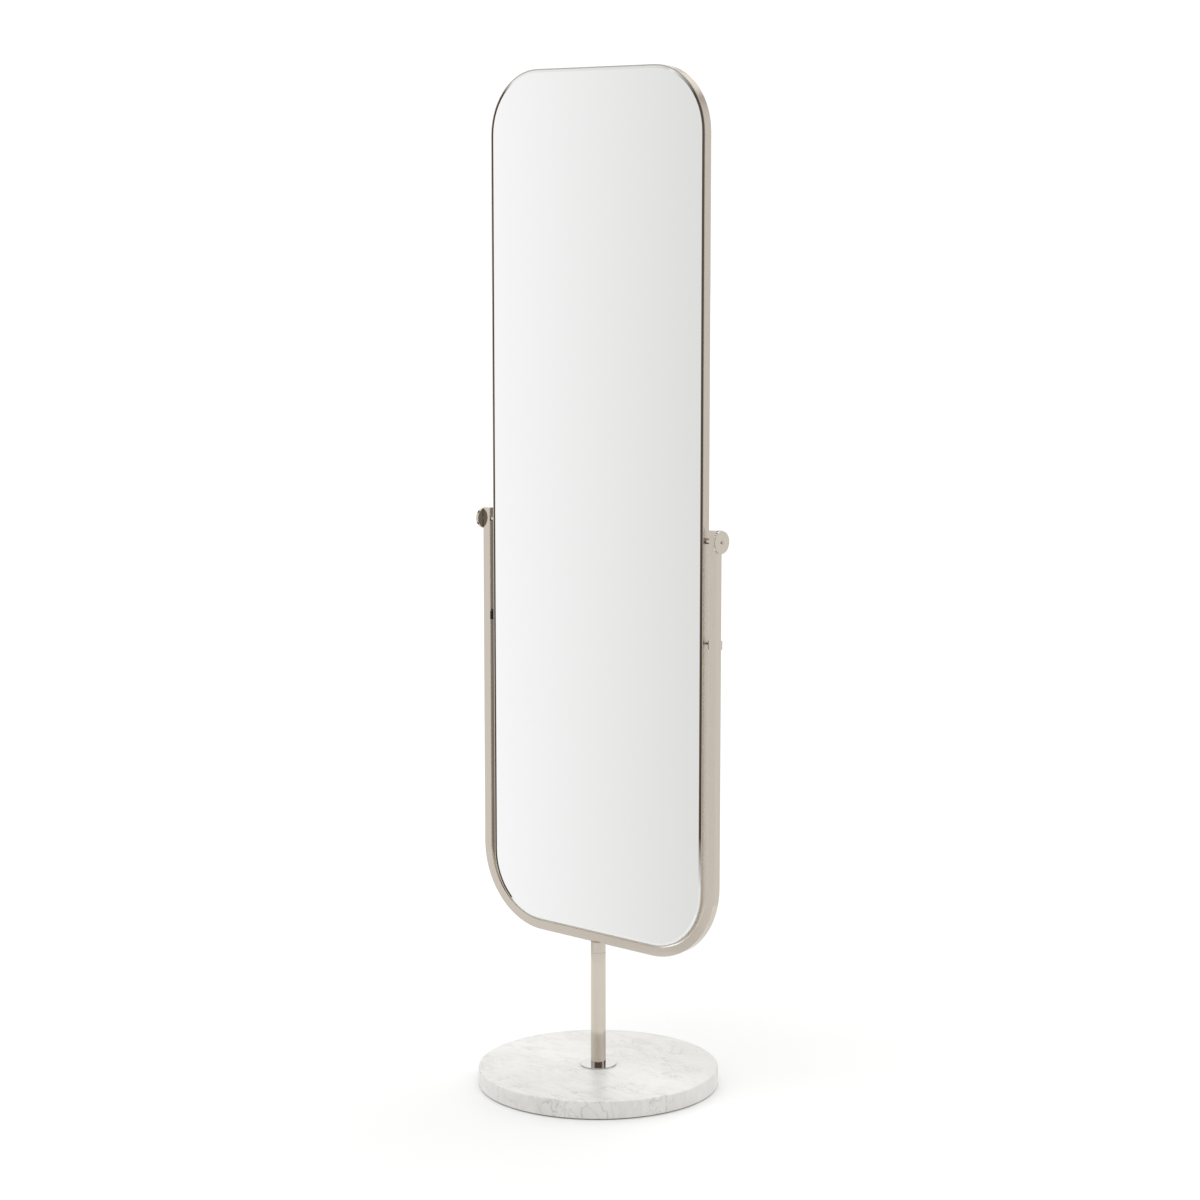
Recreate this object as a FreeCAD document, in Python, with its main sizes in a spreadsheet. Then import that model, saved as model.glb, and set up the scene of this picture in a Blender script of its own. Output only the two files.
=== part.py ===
import FreeCAD, Part
import math
import os
import Sketcher

# A floor mirror: a tall mirror hung between the arms of a yoke that stands on a column and a marble base.
# Millimetres, +Z up, the mirror faces -Y, the middle of the underside is the origin.

DRIVING_SIZES = {
    # Base
    "base_diameter": 406.4,
    "marble_thickness": 29.5,
    "marble_edge_round": 2.0,
    "foot_pad_thickness": 1.5,
    "foot_pad_inset": 4.0,
    "flange_diameter": 61.0,
    "flange_thickness": 2.2,
    "flange_edge_round": 0.8,
    # Base bolt
    "bolt_diameter": 10.0,
    "bolt_head_diameter": 17.0,
    "bolt_head_height": 6.4,
    "bolt_head_recess": 2.4,
    "bolt_in_plug": 16.0,
    "base_washer_diameter": 50.0,
    "base_washer_thickness": 3.0,
    "lock_washer_diameter": 18.0,
    "lock_washer_thickness": 2.2,
    # Column
    "column_diameter": 25.4,
    "column_wall": 1.6,
    "column_length": 194.5,
    "column_plug_length": 30.0,
    "socket_height": 18.0,
    "socket_roof": 4.2,
    "seam_groove": 0.5,
    "yoke_stud_diameter": 12.0,
    "yoke_stud_in_plug": 18.0,
    # Yoke
    "tube_width": 15.2,
    "tube_depth": 13.2,
    "tube_wall": 1.6,
    "yoke_bend_over_corner": 12.0,
    "arm_above_pivot": 18.6,
    "end_cap_over_bush": 2.0,
    # Mirror
    "mirror_width": 471.6,
    "mirror_height": 1435.9,
    "mirror_corner_radius": 107.5,
    "mirror_side_gap": 10.4,
    "mirror_bottom_gap": 1.8,
    "pivot_above_mirror_bottom": 682.8,
    "frame_depth": 14.2,
    "frame_wall": 1.5,
    "ledge_width": 12.0,
    "ledge_thickness": 1.2,
    "glass_thickness": 4.0,
    "glass_bevel_width": 4.0,
    "glass_bevel_depth": 0.8,
    "tape_thickness": 0.6,
    "tape_width": 9.0,
    "board_thickness": 3.0,
    "panel_thickness": 1.2,
    "panel_edge_inset": 2.5,
    "tab_length": 20.0,
    "tab_from_end": 179.4,
    "tab_above_pivot": 215.0,
    "panel_screw_diameter": 3.4,
    "panel_screw_tip_gap": 1.0,
    "panel_screw_head_diameter": 7.0,
    "panel_screw_head_height": 1.6,
    # Pivots
    "stud_diameter": 6.0,
    "stud_past_knob": 1.8,
    "stud_end_round": 1.8,
    "stud_tip_gap": 2.0,
    "pivot_block_height": 24.0,
    "spacer_diameter": 10.0,
    "bush_wall": 1.5,
    "knob_diameter": 36.4,
    "knob_thickness": 5.5,
    "knob_edge_round": 0.7,
    "knob_washer_diameter": 12.8,
    "knob_washer_thickness": 0.8,
    # Stops
    "stop_below_pivot": 167.0,
    "stop_height": 14.4,
    "stop_plate_thickness": 3.2,
    "stop_plate_setback": 3.3,
    "stop_tongue_height": 3.0,
    "stop_tongue_cover": 2.0,
    "stop_pad_thickness": 1.05,
    "stop_pad_behind_plate": 4.2,
    "stop_pad_reach": 13.0,
    "stop_pad_inset": 0.6,
    "stop_screw_diameter": 4.0,
    "stop_screw_past_wall": 3.2,
    "stop_screw_head_diameter": 8.0,
    "stop_screw_head_height": 2.4,
    # Bumpers
    "bumper_thickness": 2.5,
    "bumper_depth": 5.0,
    "bumper_setback": 1.6,
    # Fits
    "close_fit": 0.05,
    "bolt_clearance": 0.5,
    "washer_clearance": 5.0,
    "glass_clearance": 0.4,
    "board_clearance": 1.0,
}

# Places and sizes that follow from the driving ones. In depth, everything is set from the back of the arms.
DERIVED_SIZES = {
    "base_radius": "base_diameter / 2",
    "marble_top": "foot_pad_thickness + marble_thickness",
    "flange_top": "marble_top + flange_thickness",
    "bolt_hole": "bolt_diameter / 2 + bolt_clearance",
    "counterbore_radius": "base_washer_diameter / 2 + washer_clearance",
    "bolt_head_bottom": "foot_pad_thickness + bolt_head_recess",
    "lock_washer_bottom": "bolt_head_bottom + bolt_head_height",
    "washer_bottom": "lock_washer_bottom + lock_washer_thickness",
    "counterbore_top": "washer_bottom + base_washer_thickness",
    "column_radius": "column_diameter / 2",
    "column_bore": "column_radius - column_wall",
    "column_top": "flange_top + column_length",
    "plug_radius": "column_bore - close_fit",
    "bar_bottom": "column_top + socket_height",
    "bar_top": "bar_bottom + tube_width",
    "yoke_stud_top": "bar_bottom - socket_roof",
    "mirror_half": "mirror_width / 2",
    "mirror_bottom": "bar_top + mirror_bottom_gap",
    "mirror_top": "mirror_bottom + mirror_height",
    "pivot_height": "mirror_bottom + pivot_above_mirror_bottom",
    "arm_inner": "mirror_half + mirror_side_gap",
    "arm_outer": "arm_inner + tube_width",
    "arm_middle": "arm_inner + tube_width / 2",
    "arm_top": "pivot_height + arm_above_pivot",
    "arm_back": "tube_depth / 2",
    "inner_bend": "mirror_corner_radius + yoke_bend_over_corner",
    "outer_bend": "inner_bend + tube_width",
    "panel_back": "arm_back - stop_pad_thickness",
    "panel_front": "panel_back - panel_thickness",
    "frame_front": "panel_back - frame_depth",
    "glass_front": "frame_front - glass_bevel_depth",
    "glass_back": "glass_front + glass_thickness",
    "ledge_front": "glass_back + tape_thickness",
    "ledge_back": "ledge_front + ledge_thickness",
    "frame_bore": "mirror_half - frame_wall",
    "ledge_bore": "frame_bore - ledge_width",
    "glass_inset": "frame_wall + glass_clearance",
    "ledge_inset": "frame_wall + ledge_width",
    "pilot_radius": "panel_screw_diameter / 2 + close_fit",
    "stud_radius": "stud_diameter / 2",
    "bush_bore": "stud_radius + close_fit",
    "bush_radius": "bush_bore + bush_wall",
    "knob_inner": "arm_outer + knob_washer_thickness",
    "knob_outer": "knob_inner + knob_thickness",
    "stud_end": "knob_outer + stud_past_knob",
    "stop_middle": "pivot_height - stop_below_pivot",
    "stop_plate_inner": "arm_inner + stop_plate_setback",
    "stop_pad_inner": "mirror_half - stop_pad_reach",
    "stop_pad_outer": "mirror_half - stop_pad_inset",
    "stop_tongue_end": "stop_pad_inner + stop_tongue_cover",
    "stop_back": "arm_back + stop_plate_thickness",
    "stop_screw_hole": "stop_screw_diameter / 2 + close_fit",
    "bumper_front": "bumper_setback - arm_back",
    "bumper_inner": "arm_inner - bumper_thickness",
}

SIDES = {"left": -1, "right": 1}

doc = FreeCAD.newDocument("floor_mirror")
sheet = doc.addObject("Spreadsheet::Sheet", "Sizes")


def fill_sheet():
    """Write every size in the sheet, the derived ones as formulas."""
    cells = {alias: str(value) for alias, value in DRIVING_SIZES.items()}
    cells.update({alias: "=" + formula for alias, formula in DERIVED_SIZES.items()})
    for row, (alias, content) in enumerate(cells.items(), start=1):
        sheet.set(f"A{row}", alias)
        sheet.set(f"B{row}", content)
        sheet.setAlias(f"B{row}", alias)
    doc.recompute()


def bound(formula):
    """The formula with each size's name pointed at the sheet."""
    words = [f"Sizes.{word}" if word in DRIVING_SIZES or word in DERIVED_SIZES else word
             for word in formula.replace("(", "( ").replace(")", " )").split()]
    return " ".join(words)


def number(formula):
    """The value that the formula has now."""
    return float(sheet.evalExpression(bound(formula)))


def on_side(sign, formula):
    """The formula on the left (-1) or right (1) side of the middle."""
    return f"{sign} * ( {formula} )"


# Sketches

def new_body(label):
    body = doc.addObject("PartDesign::Body", label)
    body.Label = label
    return body


def new_sketch(body, name, role, offset="0"):
    """A sketch on one of the body's own planes, moved along that plane's normal."""
    sketch = body.newObject("Sketcher::SketchObject", f"{body.Name}_{name}")
    plane = next(feature for feature in body.Origin.OriginFeatures if feature.Role == role)
    sketch.AttachmentSupport = [(plane, "")]
    sketch.MapMode = "FlatFace"
    sketch.setExpression("AttachmentOffset.Base.z", bound(offset))
    return sketch


def constrain(sketch, kind, *places, formula):
    """Add one dimension to the sketch and bind it to a formula."""
    index = sketch.addConstraint(Sketcher.Constraint(kind, *places, number(formula)))
    sketch.setExpression(f"Constraints[{index}]", bound(formula))


def draw_outline(sketch, corners):
    """A closed outline of level and upright lines, with corners (x, y) or, where round, (x, y, radius)."""
    points = [FreeCAD.Vector(number(corner[0]), number(corner[1]), 0) for corner in corners]
    radii = [number(corner[2]) if len(corner) > 2 else 0.0 for corner in corners]
    count = len(corners)
    directions = [(points[(i + 1) % count] - points[i]).normalize() for i in range(count)]
    lines = []
    for i in range(count):
        after = (i + 1) % count
        start = points[i] + directions[i] * radii[i]
        end = points[after] - directions[i] * radii[after]
        lines.append(sketch.addGeometry(Part.LineSegment(start, end)))
        level = abs(directions[i].x) > abs(directions[i].y)
        sketch.addConstraint(Sketcher.Constraint("Horizontal" if level else "Vertical", lines[i]))
        kind = "DistanceY" if level else "DistanceX"
        constrain(sketch, kind, lines[i], 1, formula=corners[i][1 if level else 0])
    for i in range(count):
        before = lines[i - 1]
        if not radii[i]:
            sketch.addConstraint(Sketcher.Constraint("Coincident", before, 2, lines[i], 1))
            continue
        arc, first, second = draw_round(sketch, points[i], directions[i - 1], directions[i], radii[i])
        sketch.addConstraint(Sketcher.Constraint("Tangent", before, 2, arc, first))
        sketch.addConstraint(Sketcher.Constraint("Tangent", arc, second, lines[i], 1))
        constrain(sketch, "Radius", arc, formula=corners[i][2])


def draw_round(sketch, corner, arriving, leaving, radius):
    """The quarter arc of a round corner, with the numbers of its ends in the order they are met."""
    start = corner - arriving * radius
    end = corner + leaving * radius
    middle = corner + (leaving - arriving) * (radius * (1 - math.sin(math.radians(45))))
    arc = sketch.addGeometry(Part.Arc(start, middle, end))
    turns_left = arriving.cross(leaving).z > 0
    return (arc, 1, 2) if turns_left else (arc, 2, 1)


def draw_circle(sketch, x, y, radius):
    middle = FreeCAD.Vector(number(x), number(y), 0)
    index = sketch.addGeometry(Part.Circle(middle, FreeCAD.Vector(0, 0, 1), number(radius)))
    constrain(sketch, "DistanceX", index, 3, formula=x)
    constrain(sketch, "DistanceY", index, 3, formula=y)
    constrain(sketch, "Radius", index, formula=radius)


def rectangle(left, right, bottom, top):
    return [(left, bottom), (right, bottom), (right, top), (left, top)]


def mirror_shape(inset):
    """The mirror's rounded outline, drawn in by the inset all round."""
    edge = f"mirror_half - ( {inset} )"
    bottom, top = f"mirror_bottom + {inset}", f"mirror_top - ( {inset} )"
    corner = f"mirror_corner_radius - ( {inset} )"
    return [(x, z, corner) for x, z in rectangle(on_side(-1, edge), edge, bottom, top)]


# Features. A sketch on the XZ plane looks along +Y, so its normal points to the front.

def pad_between(body, name, front, back, *outlines, holes=()):
    """Pad outlines, given in X and Z, from the back up to the front, around holes of (x, z, radius)."""
    sketch = new_sketch(body, name, "XZ_Plane", f"- ( {back} )")
    for corners in outlines:
        draw_outline(sketch, corners)
    for x, z, radius in holes:
        draw_circle(sketch, x, z, radius)
    feature = body.newObject("PartDesign::Pad", f"{body.Name}_{name}_pad")
    feature.Profile = sketch
    feature.setExpression("Length", bound(f"{back} - ( {front} )"))
    return feature


def pocket(body, sketch, length):
    """Cut the sketch out on both of its sides, half of the length on each."""
    feature = body.newObject("PartDesign::Pocket", f"{body.Name}_pocket")
    feature.Profile = sketch
    feature.SideType = "Symmetric"
    feature.setExpression("Length", bound(length))


def turned(label, corners, axis="V_Axis"):
    """A body turned about Z (V_Axis) or about X at the height of the pivots (H_Axis)."""
    body = new_body(label)
    sketch = new_sketch(body, "profile", "XZ_Plane")
    draw_outline(sketch, corners)
    feature = body.newObject("PartDesign::Revolution", f"{label}_turned")
    feature.Profile = sketch
    feature.ReferenceAxis = (sketch, [axis])
    feature.Angle = 360
    if axis == "H_Axis":
        body.setExpression("Placement.Base.z", bound("pivot_height"))


# Plain solids and groups

def block(label, low, high):
    """A box between two corners, each given as formulas for X, Y and Z."""
    box = doc.addObject("Part::Box", label)
    box.Label = label
    for size, axis, start, end in zip(("Length", "Width", "Height"), "xyz", low, high):
        box.setExpression(size, bound(f"{end} - ( {start} )"))
        box.setExpression(f"Placement.Base.{axis}", bound(start))
    return box


ROD_TURNS = {
    "x": FreeCAD.Rotation(FreeCAD.Vector(0, 1, 0), 90),
    "y": FreeCAD.Rotation(FreeCAD.Vector(1, 0, 0), -90),
}


def rod(label, axis, start, length, radius):
    """A round rod along +X or +Y from a starting point, given as formulas for X, Y and Z."""
    cylinder = doc.addObject("Part::Cylinder", label)
    cylinder.setExpression("Radius", bound(radius))
    cylinder.setExpression("Height", bound(length))
    cylinder.Placement.Rotation = ROD_TURNS[axis]
    for name, formula in zip("xyz", start):
        cylinder.setExpression(f"Placement.Base.{name}", bound(formula))
    return cylinder


def combine(kind, label, base, tool):
    """A boolean of two solids: Part::Cut or Part::Fuse."""
    result = doc.addObject(kind, label)
    result.Label = label
    result.Base = base
    result.Tool = tool
    return result


def group(label, members):
    """One node of separate like solids."""
    compound = doc.addObject("Part::Compound", label)
    compound.Label = label
    compound.Links = members


def screw_from_behind(label, x, z, seat, length, name):
    """A screw whose head lies on the seat and whose shank points to the front."""
    shank = rod(f"{label}_shank", "y", (x, f"{seat} - ( {length} )", z), length, f"{name}_diameter / 2")
    head = rod(f"{label}_head", "y", (x, seat, z), f"{name}_head_height", f"{name}_head_diameter / 2")
    return combine("Part::Fuse", label, shank, head)


# Base

def make_base():
    pad_edge = "base_radius - foot_pad_inset"
    turned("base_pad", rectangle("counterbore_radius", pad_edge, "0", "foot_pad_thickness"))
    turned("marble_base", [
        ("counterbore_radius", "foot_pad_thickness"),
        ("base_radius", "foot_pad_thickness", "marble_edge_round"),
        ("base_radius", "marble_top", "marble_edge_round"),
        ("bolt_hole", "marble_top"),
        ("bolt_hole", "counterbore_top"),
        ("counterbore_radius", "counterbore_top"),
    ])
    turned("base_flange", [
        ("bolt_hole", "marble_top"),
        ("flange_diameter / 2", "marble_top"),
        ("flange_diameter / 2", "flange_top", "flange_edge_round"),
        ("bolt_hole", "flange_top"),
    ])
    washer_edge, lock_edge = "base_washer_diameter / 2", "lock_washer_diameter / 2"
    turned("base_washer", rectangle("bolt_hole", washer_edge, "washer_bottom", "counterbore_top"))
    turned("base_lock_washer", rectangle("bolt_hole", lock_edge, "lock_washer_bottom", "washer_bottom"))
    turned("base_bolt", [
        ("0", "bolt_head_bottom"),
        ("bolt_head_diameter / 2", "bolt_head_bottom"),
        ("bolt_head_diameter / 2", "lock_washer_bottom"),
        ("bolt_diameter / 2", "lock_washer_bottom"),
        ("bolt_diameter / 2", "flange_top + bolt_in_plug"),
        ("0", "flange_top + bolt_in_plug"),
    ])


# Column

def make_column():
    turned("column_tube", rectangle("column_bore", "column_radius", "flange_top", "column_top"))
    bolt_thread = "bolt_diameter / 2 + close_fit"
    plug_top = "flange_top + column_plug_length"
    turned("column_lower_plug", rectangle(bolt_thread, "plug_radius", "flange_top", plug_top))
    stud_thread = "yoke_stud_diameter / 2 + close_fit"
    plug_bottom = "column_top - column_plug_length"
    turned("column_upper_plug", rectangle(stud_thread, "plug_radius", plug_bottom, "column_top"))
    stud_bottom = "column_top - yoke_stud_in_plug"
    turned("yoke_stud", rectangle("0", "yoke_stud_diameter / 2", stud_bottom, "yoke_stud_top"))
    turned("yoke_socket", [
        (stud_thread, "column_top"),
        ("column_radius - seam_groove", "column_top"),
        ("column_radius - seam_groove", "column_top + seam_groove"),
        ("column_radius", "column_top + seam_groove"),
        ("column_radius", "bar_bottom"),
        ("0", "bar_bottom"),
        ("0", "yoke_stud_top"),
        (stud_thread, "yoke_stud_top"),
    ])


# Yoke

def yoke_outline(inset, top):
    """The U of the bent tube, drawn in by the inset on its inner and outer side."""
    outer, inner = f"arm_outer - {inset}", f"arm_inner + {inset}"
    low, high = f"bar_bottom + {inset}", f"bar_top - {inset}"
    outside, inside = f"outer_bend - {inset}", f"inner_bend + {inset}"
    return [
        (on_side(-1, outer), top), (on_side(-1, outer), low, outside),
        (outer, low, outside), (outer, top),
        (inner, top), (inner, high, inside),
        (on_side(-1, inner), high, inside), (on_side(-1, inner), top),
    ]


def make_yoke():
    body = new_body("yoke_tube")
    pad_between(body, "outside", "- arm_back", "arm_back", yoke_outline("0", "arm_top"))
    inside = new_sketch(body, "inside", "XZ_Plane")
    draw_outline(inside, yoke_outline("tube_wall", "arm_top + tube_wall"))
    pocket(body, inside, "tube_depth - 2 * tube_wall")
    pivot_holes = new_sketch(body, "pivot_holes", "YZ_Plane")
    draw_circle(pivot_holes, "0", "pivot_height", "bush_radius + close_fit")
    pocket(body, pivot_holes, "2 * ( arm_outer + tube_wall )")
    stop_holes = new_sketch(body, "stop_holes", "XZ_Plane", "- arm_back")
    for sign in SIDES.values():
        draw_circle(stop_holes, on_side(sign, "arm_middle"), "stop_middle", "stop_screw_hole")
    pocket(body, stop_holes, "tube_depth")


def make_end_caps():
    """Plugs that close the tops of the arms flush."""
    face = "arm_back - tube_wall - close_fit"
    bottom = "pivot_height + bush_radius + end_cap_over_bush"
    for side, sign in SIDES.items():
        inner = on_side(sign, "arm_inner + tube_wall + close_fit")
        outer = on_side(sign, "arm_outer - tube_wall - close_fit")
        low, high = sorted([inner, outer], key=number)
        block(f"arm_end_cap_{side}", (low, f"- ( {face} )", bottom), (high, face, "arm_top"))


# Stops on the backs of the arms: a plate whose tongue carries a rubber pad behind the mirror's edge

def make_stops():
    low, high = "stop_middle - stop_height / 2", "stop_middle + stop_height / 2"
    under, over = "stop_middle - stop_tongue_height / 2", "stop_middle + stop_tongue_height / 2"
    screw_length = "stop_plate_thickness + tube_wall + stop_screw_past_wall"
    screws = []
    for side, sign in SIDES.items():
        tip, foot = on_side(sign, "stop_tongue_end"), on_side(sign, "stop_plate_inner")
        outer, middle = on_side(sign, "arm_outer"), on_side(sign, "arm_middle")
        plate = new_body(f"stop_plate_{side}")
        outline = [(tip, under), (foot, under), (foot, low), (outer, low),
                   (outer, high), (foot, high), (foot, over), (tip, over)]
        pad_between(plate, "outline", "arm_back", "stop_back", outline,
                    holes=[(middle, "stop_middle", "stop_screw_hole")])

        pad_inner, pad_outer = on_side(sign, "stop_pad_inner"), on_side(sign, "stop_pad_outer")
        rubber = new_body(f"stop_pad_{side}")
        pad_between(rubber, "outline", "panel_back", "stop_back + stop_pad_behind_plate",
                    rectangle(pad_inner, pad_outer, low, high))
        slot = new_sketch(rubber, "slot", "XZ_Plane", "- ( arm_back + stop_back ) / 2")
        draw_outline(slot, rectangle(tip, foot, under, over))
        pocket(rubber, slot, "stop_plate_thickness")
        screws.append(screw_from_behind(f"stop_screw_{side}", middle, "stop_middle", "stop_back",
                                        screw_length, "stop_screw"))
    group("stop_screws", screws)


# Rubber strips on the inner sides of the arms, level with the stops, that keep a swaying mirror off them

def make_bumpers():
    for side, sign in SIDES.items():
        low, high = sorted([on_side(sign, "bumper_inner"), on_side(sign, "arm_inner")], key=number)
        block(f"side_bumper_{side}",
              (low, "bumper_front", "stop_middle - stop_height / 2"),
              (high, "bumper_front + bumper_depth", "stop_middle + stop_height / 2"))


# Mirror

def make_mirror():
    frame = new_body("mirror_frame")
    pad_between(frame, "wall", "frame_front", "panel_back", mirror_shape("0"), mirror_shape("frame_wall"))
    pad_between(frame, "ledge", "ledge_front", "ledge_back",
                mirror_shape("frame_wall / 2"), mirror_shape("ledge_inset"))
    stud_holes = new_sketch(frame, "stud_holes", "YZ_Plane")
    draw_circle(stud_holes, "0", "pivot_height", "bush_bore")
    pocket(frame, stud_holes, "2 * ( mirror_half + frame_wall )")

    glass = new_body("mirror_glass")
    flat_glass = pad_between(glass, "sheet", "glass_front", "glass_back", mirror_shape("glass_inset"))
    bevel_front(glass, flat_glass)
    tape = new_body("glass_tape")
    pad_between(tape, "ring", "glass_back", "ledge_front",
                mirror_shape("glass_inset"), mirror_shape("glass_inset + tape_width"))
    board = new_body("backing_board")
    pad_between(board, "sheet", "glass_back", "glass_back + board_thickness",
                mirror_shape("ledge_inset + board_clearance"))


def bevel_front(glass, flat_glass):
    """Bevel the front edge of the glass: wide on the face, shallow in the depth."""
    doc.recompute()
    faces = flat_glass.Shape.Faces
    front = min(range(len(faces)), key=lambda i: faces[i].CenterOfMass.y)
    bevel = glass.newObject("PartDesign::Chamfer", "mirror_glass_bevel")
    bevel.Base = (flat_glass, [f"Face{front + 1}"])
    bevel.ChamferType = "Two distances"
    bevel.setExpression("Size", bound("glass_bevel_depth"))
    bevel.setExpression("Size2", bound("glass_bevel_width"))


# Back of the mirror

def tab_places():
    """Middle of each tab in X and Z with its half width and half height."""
    half_width, half_length = "ledge_width / 2", "tab_length / 2"
    heights = ("mirror_bottom + tab_from_end", "pivot_height + tab_above_pivot", "mirror_top - tab_from_end")
    for height in heights:
        for sign in SIDES.values():
            yield on_side(sign, "frame_bore - ledge_width / 2"), height, half_width, half_length
    yield "0", "mirror_bottom + ledge_inset - ledge_width / 2", half_length, half_width
    yield "0", "mirror_top - ledge_inset + ledge_width / 2", half_length, half_width


def make_back():
    tabs, screws, holes = [], [], []
    screw_length = "panel_back - ledge_back - panel_screw_tip_gap"
    for i, (x, z, half_x, half_z) in enumerate(tab_places(), start=1):
        solid = block(f"tab_{i}_block", (f"{x} - {half_x}", "ledge_back", f"{z} - {half_z}"),
                      (f"{x} + {half_x}", "panel_front", f"{z} + {half_z}"))
        pilot = rod(f"tab_{i}_pilot", "y", (x, "ledge_back", z), "panel_front - ledge_back", "pilot_radius")
        tabs.append(combine("Part::Cut", f"tab_{i}", solid, pilot))
        screws.append(screw_from_behind(f"panel_screw_{i}", x, z, "panel_back", screw_length, "panel_screw"))
        holes.append((x, z, "pilot_radius"))
    group("panel_tabs", tabs)
    group("back_screws", screws)
    panel = new_body("back_panel")
    pad_between(panel, "sheet", "panel_front", "panel_back", mirror_shape("panel_edge_inset"), holes=holes)


# Pivots and knobs, turned about X

def make_pivot_block(side, sign):
    """The block behind the frame's ledge that the stud is screwed into."""
    inner, outer = sorted([on_side(sign, "ledge_bore"), on_side(sign, "frame_bore")], key=number)
    solid = block(f"pivot_block_{side}_solid",
                  (inner, "ledge_back", "pivot_height - pivot_block_height / 2"),
                  (outer, "panel_front", "pivot_height + pivot_block_height / 2"))
    thread = rod(f"pivot_block_{side}_thread", "x", (inner, "0", "pivot_height"), "ledge_width", "bush_bore")
    combine("Part::Cut", f"pivot_block_{side}", solid, thread)


def make_pivots():
    sleeves = [
        ("pivot_spacer", "mirror_half", "arm_inner", "spacer_diameter / 2"),
        ("pivot_bush", "arm_inner", "arm_outer", "bush_radius"),
        ("knob_washer", "arm_outer", "knob_inner", "knob_washer_diameter / 2"),
    ]
    for side, sign in SIDES.items():
        make_pivot_block(side, sign)
        tip, end = on_side(sign, "ledge_bore + stud_tip_gap"), on_side(sign, "stud_end")
        turned(f"pivot_stud_{side}", [
            (tip, "0"), (end, "0"), (end, "stud_radius", "stud_end_round"), (tip, "stud_radius"),
        ], "H_Axis")
        for name, start, stop, radius in sleeves:
            outline = rectangle(on_side(sign, start), on_side(sign, stop), "bush_bore", radius)
            turned(f"{name}_{side}", outline, "H_Axis")
        inner, outer = on_side(sign, "knob_inner"), on_side(sign, "knob_outer")
        turned(f"knob_{side}", [
            (inner, "bush_bore"), (inner, "knob_diameter / 2", "knob_edge_round"),
            (outer, "knob_diameter / 2", "knob_edge_round"), (outer, "bush_bore"),
        ], "H_Axis")


NODES = ["base_pad", "marble_base", "base_flange", "base_washer", "base_lock_washer", "base_bolt",
         "column_tube", "column_lower_plug", "column_upper_plug", "yoke_stud", "yoke_socket", "yoke_tube",
         "stop_screws", "mirror_frame", "mirror_glass", "glass_tape", "backing_board", "back_panel",
         "panel_tabs", "back_screws"]
PAIRED_NODES = ["arm_end_cap", "stop_plate", "stop_pad", "side_bumper", "pivot_block", "pivot_stud",
                "pivot_spacer", "pivot_bush", "knob_washer", "knob"]


def export():
    """Check the whole document, then write one STEP file for each node."""
    doc.recompute()
    for item in doc.Objects:
        if "Invalid" in item.State or "Error" in item.State:
            raise RuntimeError(f"{item.Name} is {item.State}")
    labels = NODES + [f"{name}_{side}" for name in PAIRED_NODES for side in SIDES]
    shapes = {label: doc.getObject(label).Shape for label in labels}
    for label, shape in shapes.items():
        if shape.isNull() or not shape.isValid():
            raise RuntimeError(f"{label} has no sound shape")
    os.makedirs("parts", exist_ok=True)
    for label, shape in shapes.items():
        shape.exportStep(f"parts/{label}.step")
        print(f"{label}: {len(shape.Solids)} solids, {shape.Volume / 1000:.2f} cm3")


fill_sheet()
make_base()
make_column()
make_yoke()
make_end_caps()
make_stops()
make_bumpers()
make_mirror()
make_back()
make_pivots()
export()
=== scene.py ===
import math

import bmesh
import bpy
from mathutils import Matrix, Vector


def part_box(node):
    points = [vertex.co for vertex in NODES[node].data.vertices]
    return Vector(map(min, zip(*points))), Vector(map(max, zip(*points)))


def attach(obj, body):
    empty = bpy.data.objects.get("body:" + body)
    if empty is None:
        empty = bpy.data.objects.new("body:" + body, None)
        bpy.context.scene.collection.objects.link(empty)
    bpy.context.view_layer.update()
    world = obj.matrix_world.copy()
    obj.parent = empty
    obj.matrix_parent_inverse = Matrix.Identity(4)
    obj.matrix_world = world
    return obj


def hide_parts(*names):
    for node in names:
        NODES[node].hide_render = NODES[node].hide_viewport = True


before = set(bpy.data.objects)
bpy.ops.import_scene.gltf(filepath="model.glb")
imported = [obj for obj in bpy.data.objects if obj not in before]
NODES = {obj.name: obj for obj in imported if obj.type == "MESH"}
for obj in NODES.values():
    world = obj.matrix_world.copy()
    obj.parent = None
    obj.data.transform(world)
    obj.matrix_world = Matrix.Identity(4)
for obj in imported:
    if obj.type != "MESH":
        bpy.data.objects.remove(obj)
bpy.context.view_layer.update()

bl_info = {
    "name": "Floor mirror",
    "version": (1, 0, 0),
    "blender": (4, 5, 0),
    "location": "3D View > Sidebar > Floor mirror",
    "description": "Finishes, fasteners and a plain studio for a tilting floor mirror on a marble base",
    "category": "Object",
}

SIDES = ("left", "right")
MM = 0.001
SHARP_ANGLE = math.radians(32)


def both(*names):
    """Names of the left and right ones of paired pieces."""
    return [f"{name}_{side}" for name in names for side in SIDES]


# Settings that a user would change

def colour(name, description, default):
    """A colour that a user can pick."""
    return bpy.props.FloatVectorProperty(
        name=name, description=description, default=default, size=3, min=0, max=1, subtype="COLOR")


def length(name, description, default):
    """A length that a user can set, with its default in millimetres."""
    return bpy.props.FloatProperty(
        name=name, description=description, default=default * MM, min=0, precision=5, unit="LENGTH")


def brightness(name, description, default):
    """A brightness that a user can set."""
    return bpy.props.FloatProperty(name=name, description=description, default=default, min=0)


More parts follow.
